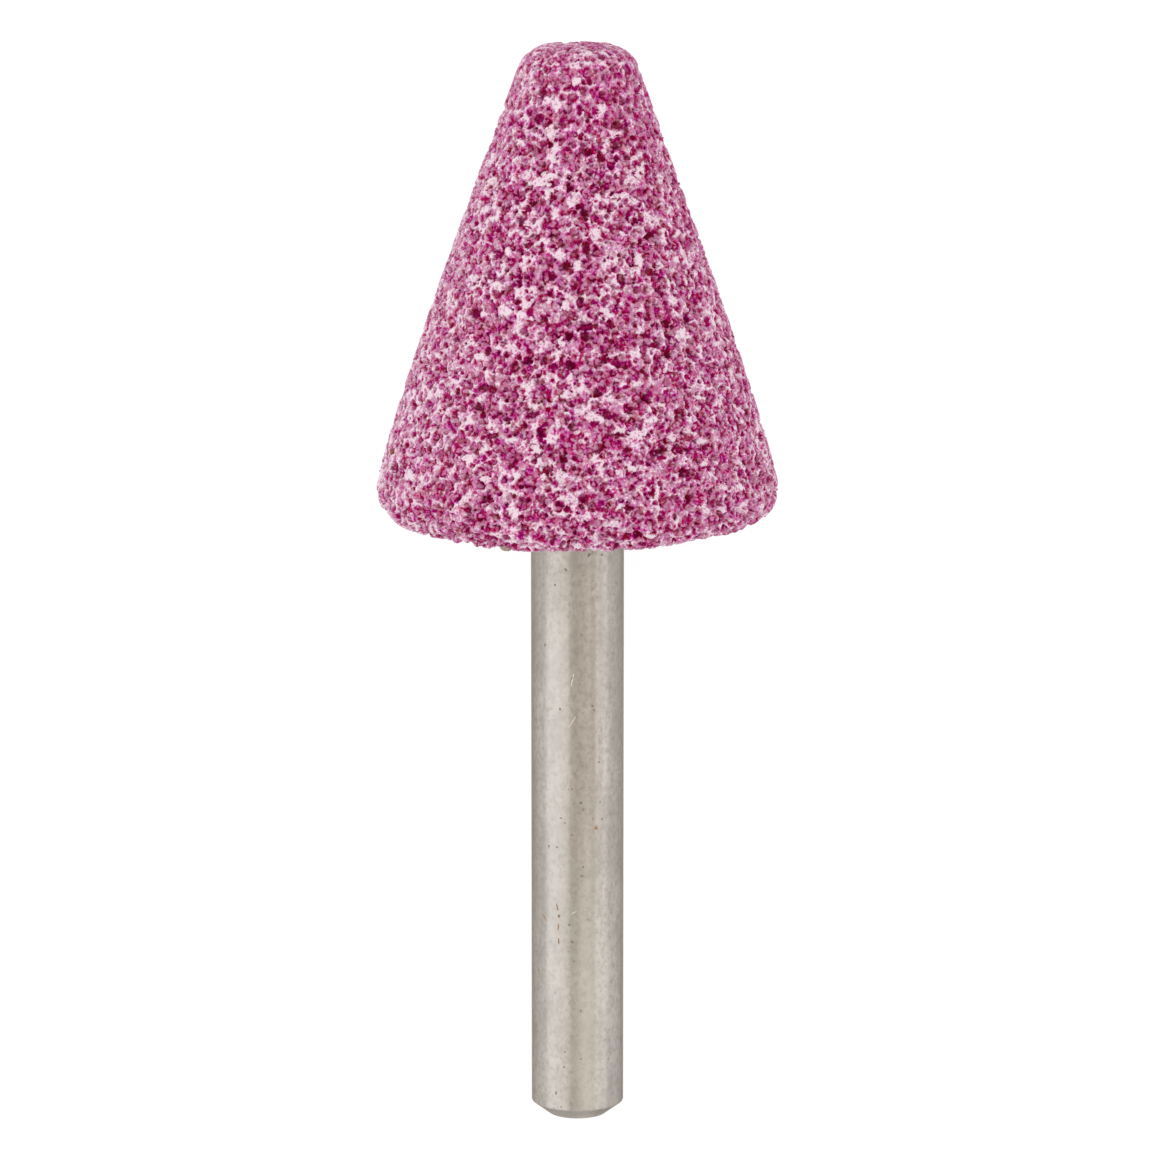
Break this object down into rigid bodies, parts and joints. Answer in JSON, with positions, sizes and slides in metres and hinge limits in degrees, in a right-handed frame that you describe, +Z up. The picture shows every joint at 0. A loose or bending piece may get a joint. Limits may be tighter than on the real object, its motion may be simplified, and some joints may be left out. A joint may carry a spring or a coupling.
{
  "type": "mounted point",
  "caption": "Conical grinding head of pink fused alumina cemented onto a straight round steel shank, for dressing metal with a rotary tool.",
  "frame": {"origin": "on the surface that it lies on, below the middle of its length and width", "axes": "+Y along its length towards the tip of the cone, +Z up. The tool's own axis lies in the YZ plane and slopes up 13.4 degrees towards the tip, because it rests on the rim of the head and the end of the shank"},
  "size_m": [0.0258, 0.0694, 0.0251],
  "materials": {
    "fused_alumina": "open-pored vitrified pink fused alumina, trued on its flank, with pale cut grains over deep crimson pores",
    "ground_steel": "satin centreless-ground steel with fine rings round it, a few specks of rust and light scratches",
    "cement": "matte beige-grey cement"
  },
  "bodies": {
    "root": {"grinding_head": "fused_alumina", "shank": "ground_steel", "bonding_cement": "cement"}
  },
  "joints": []
}
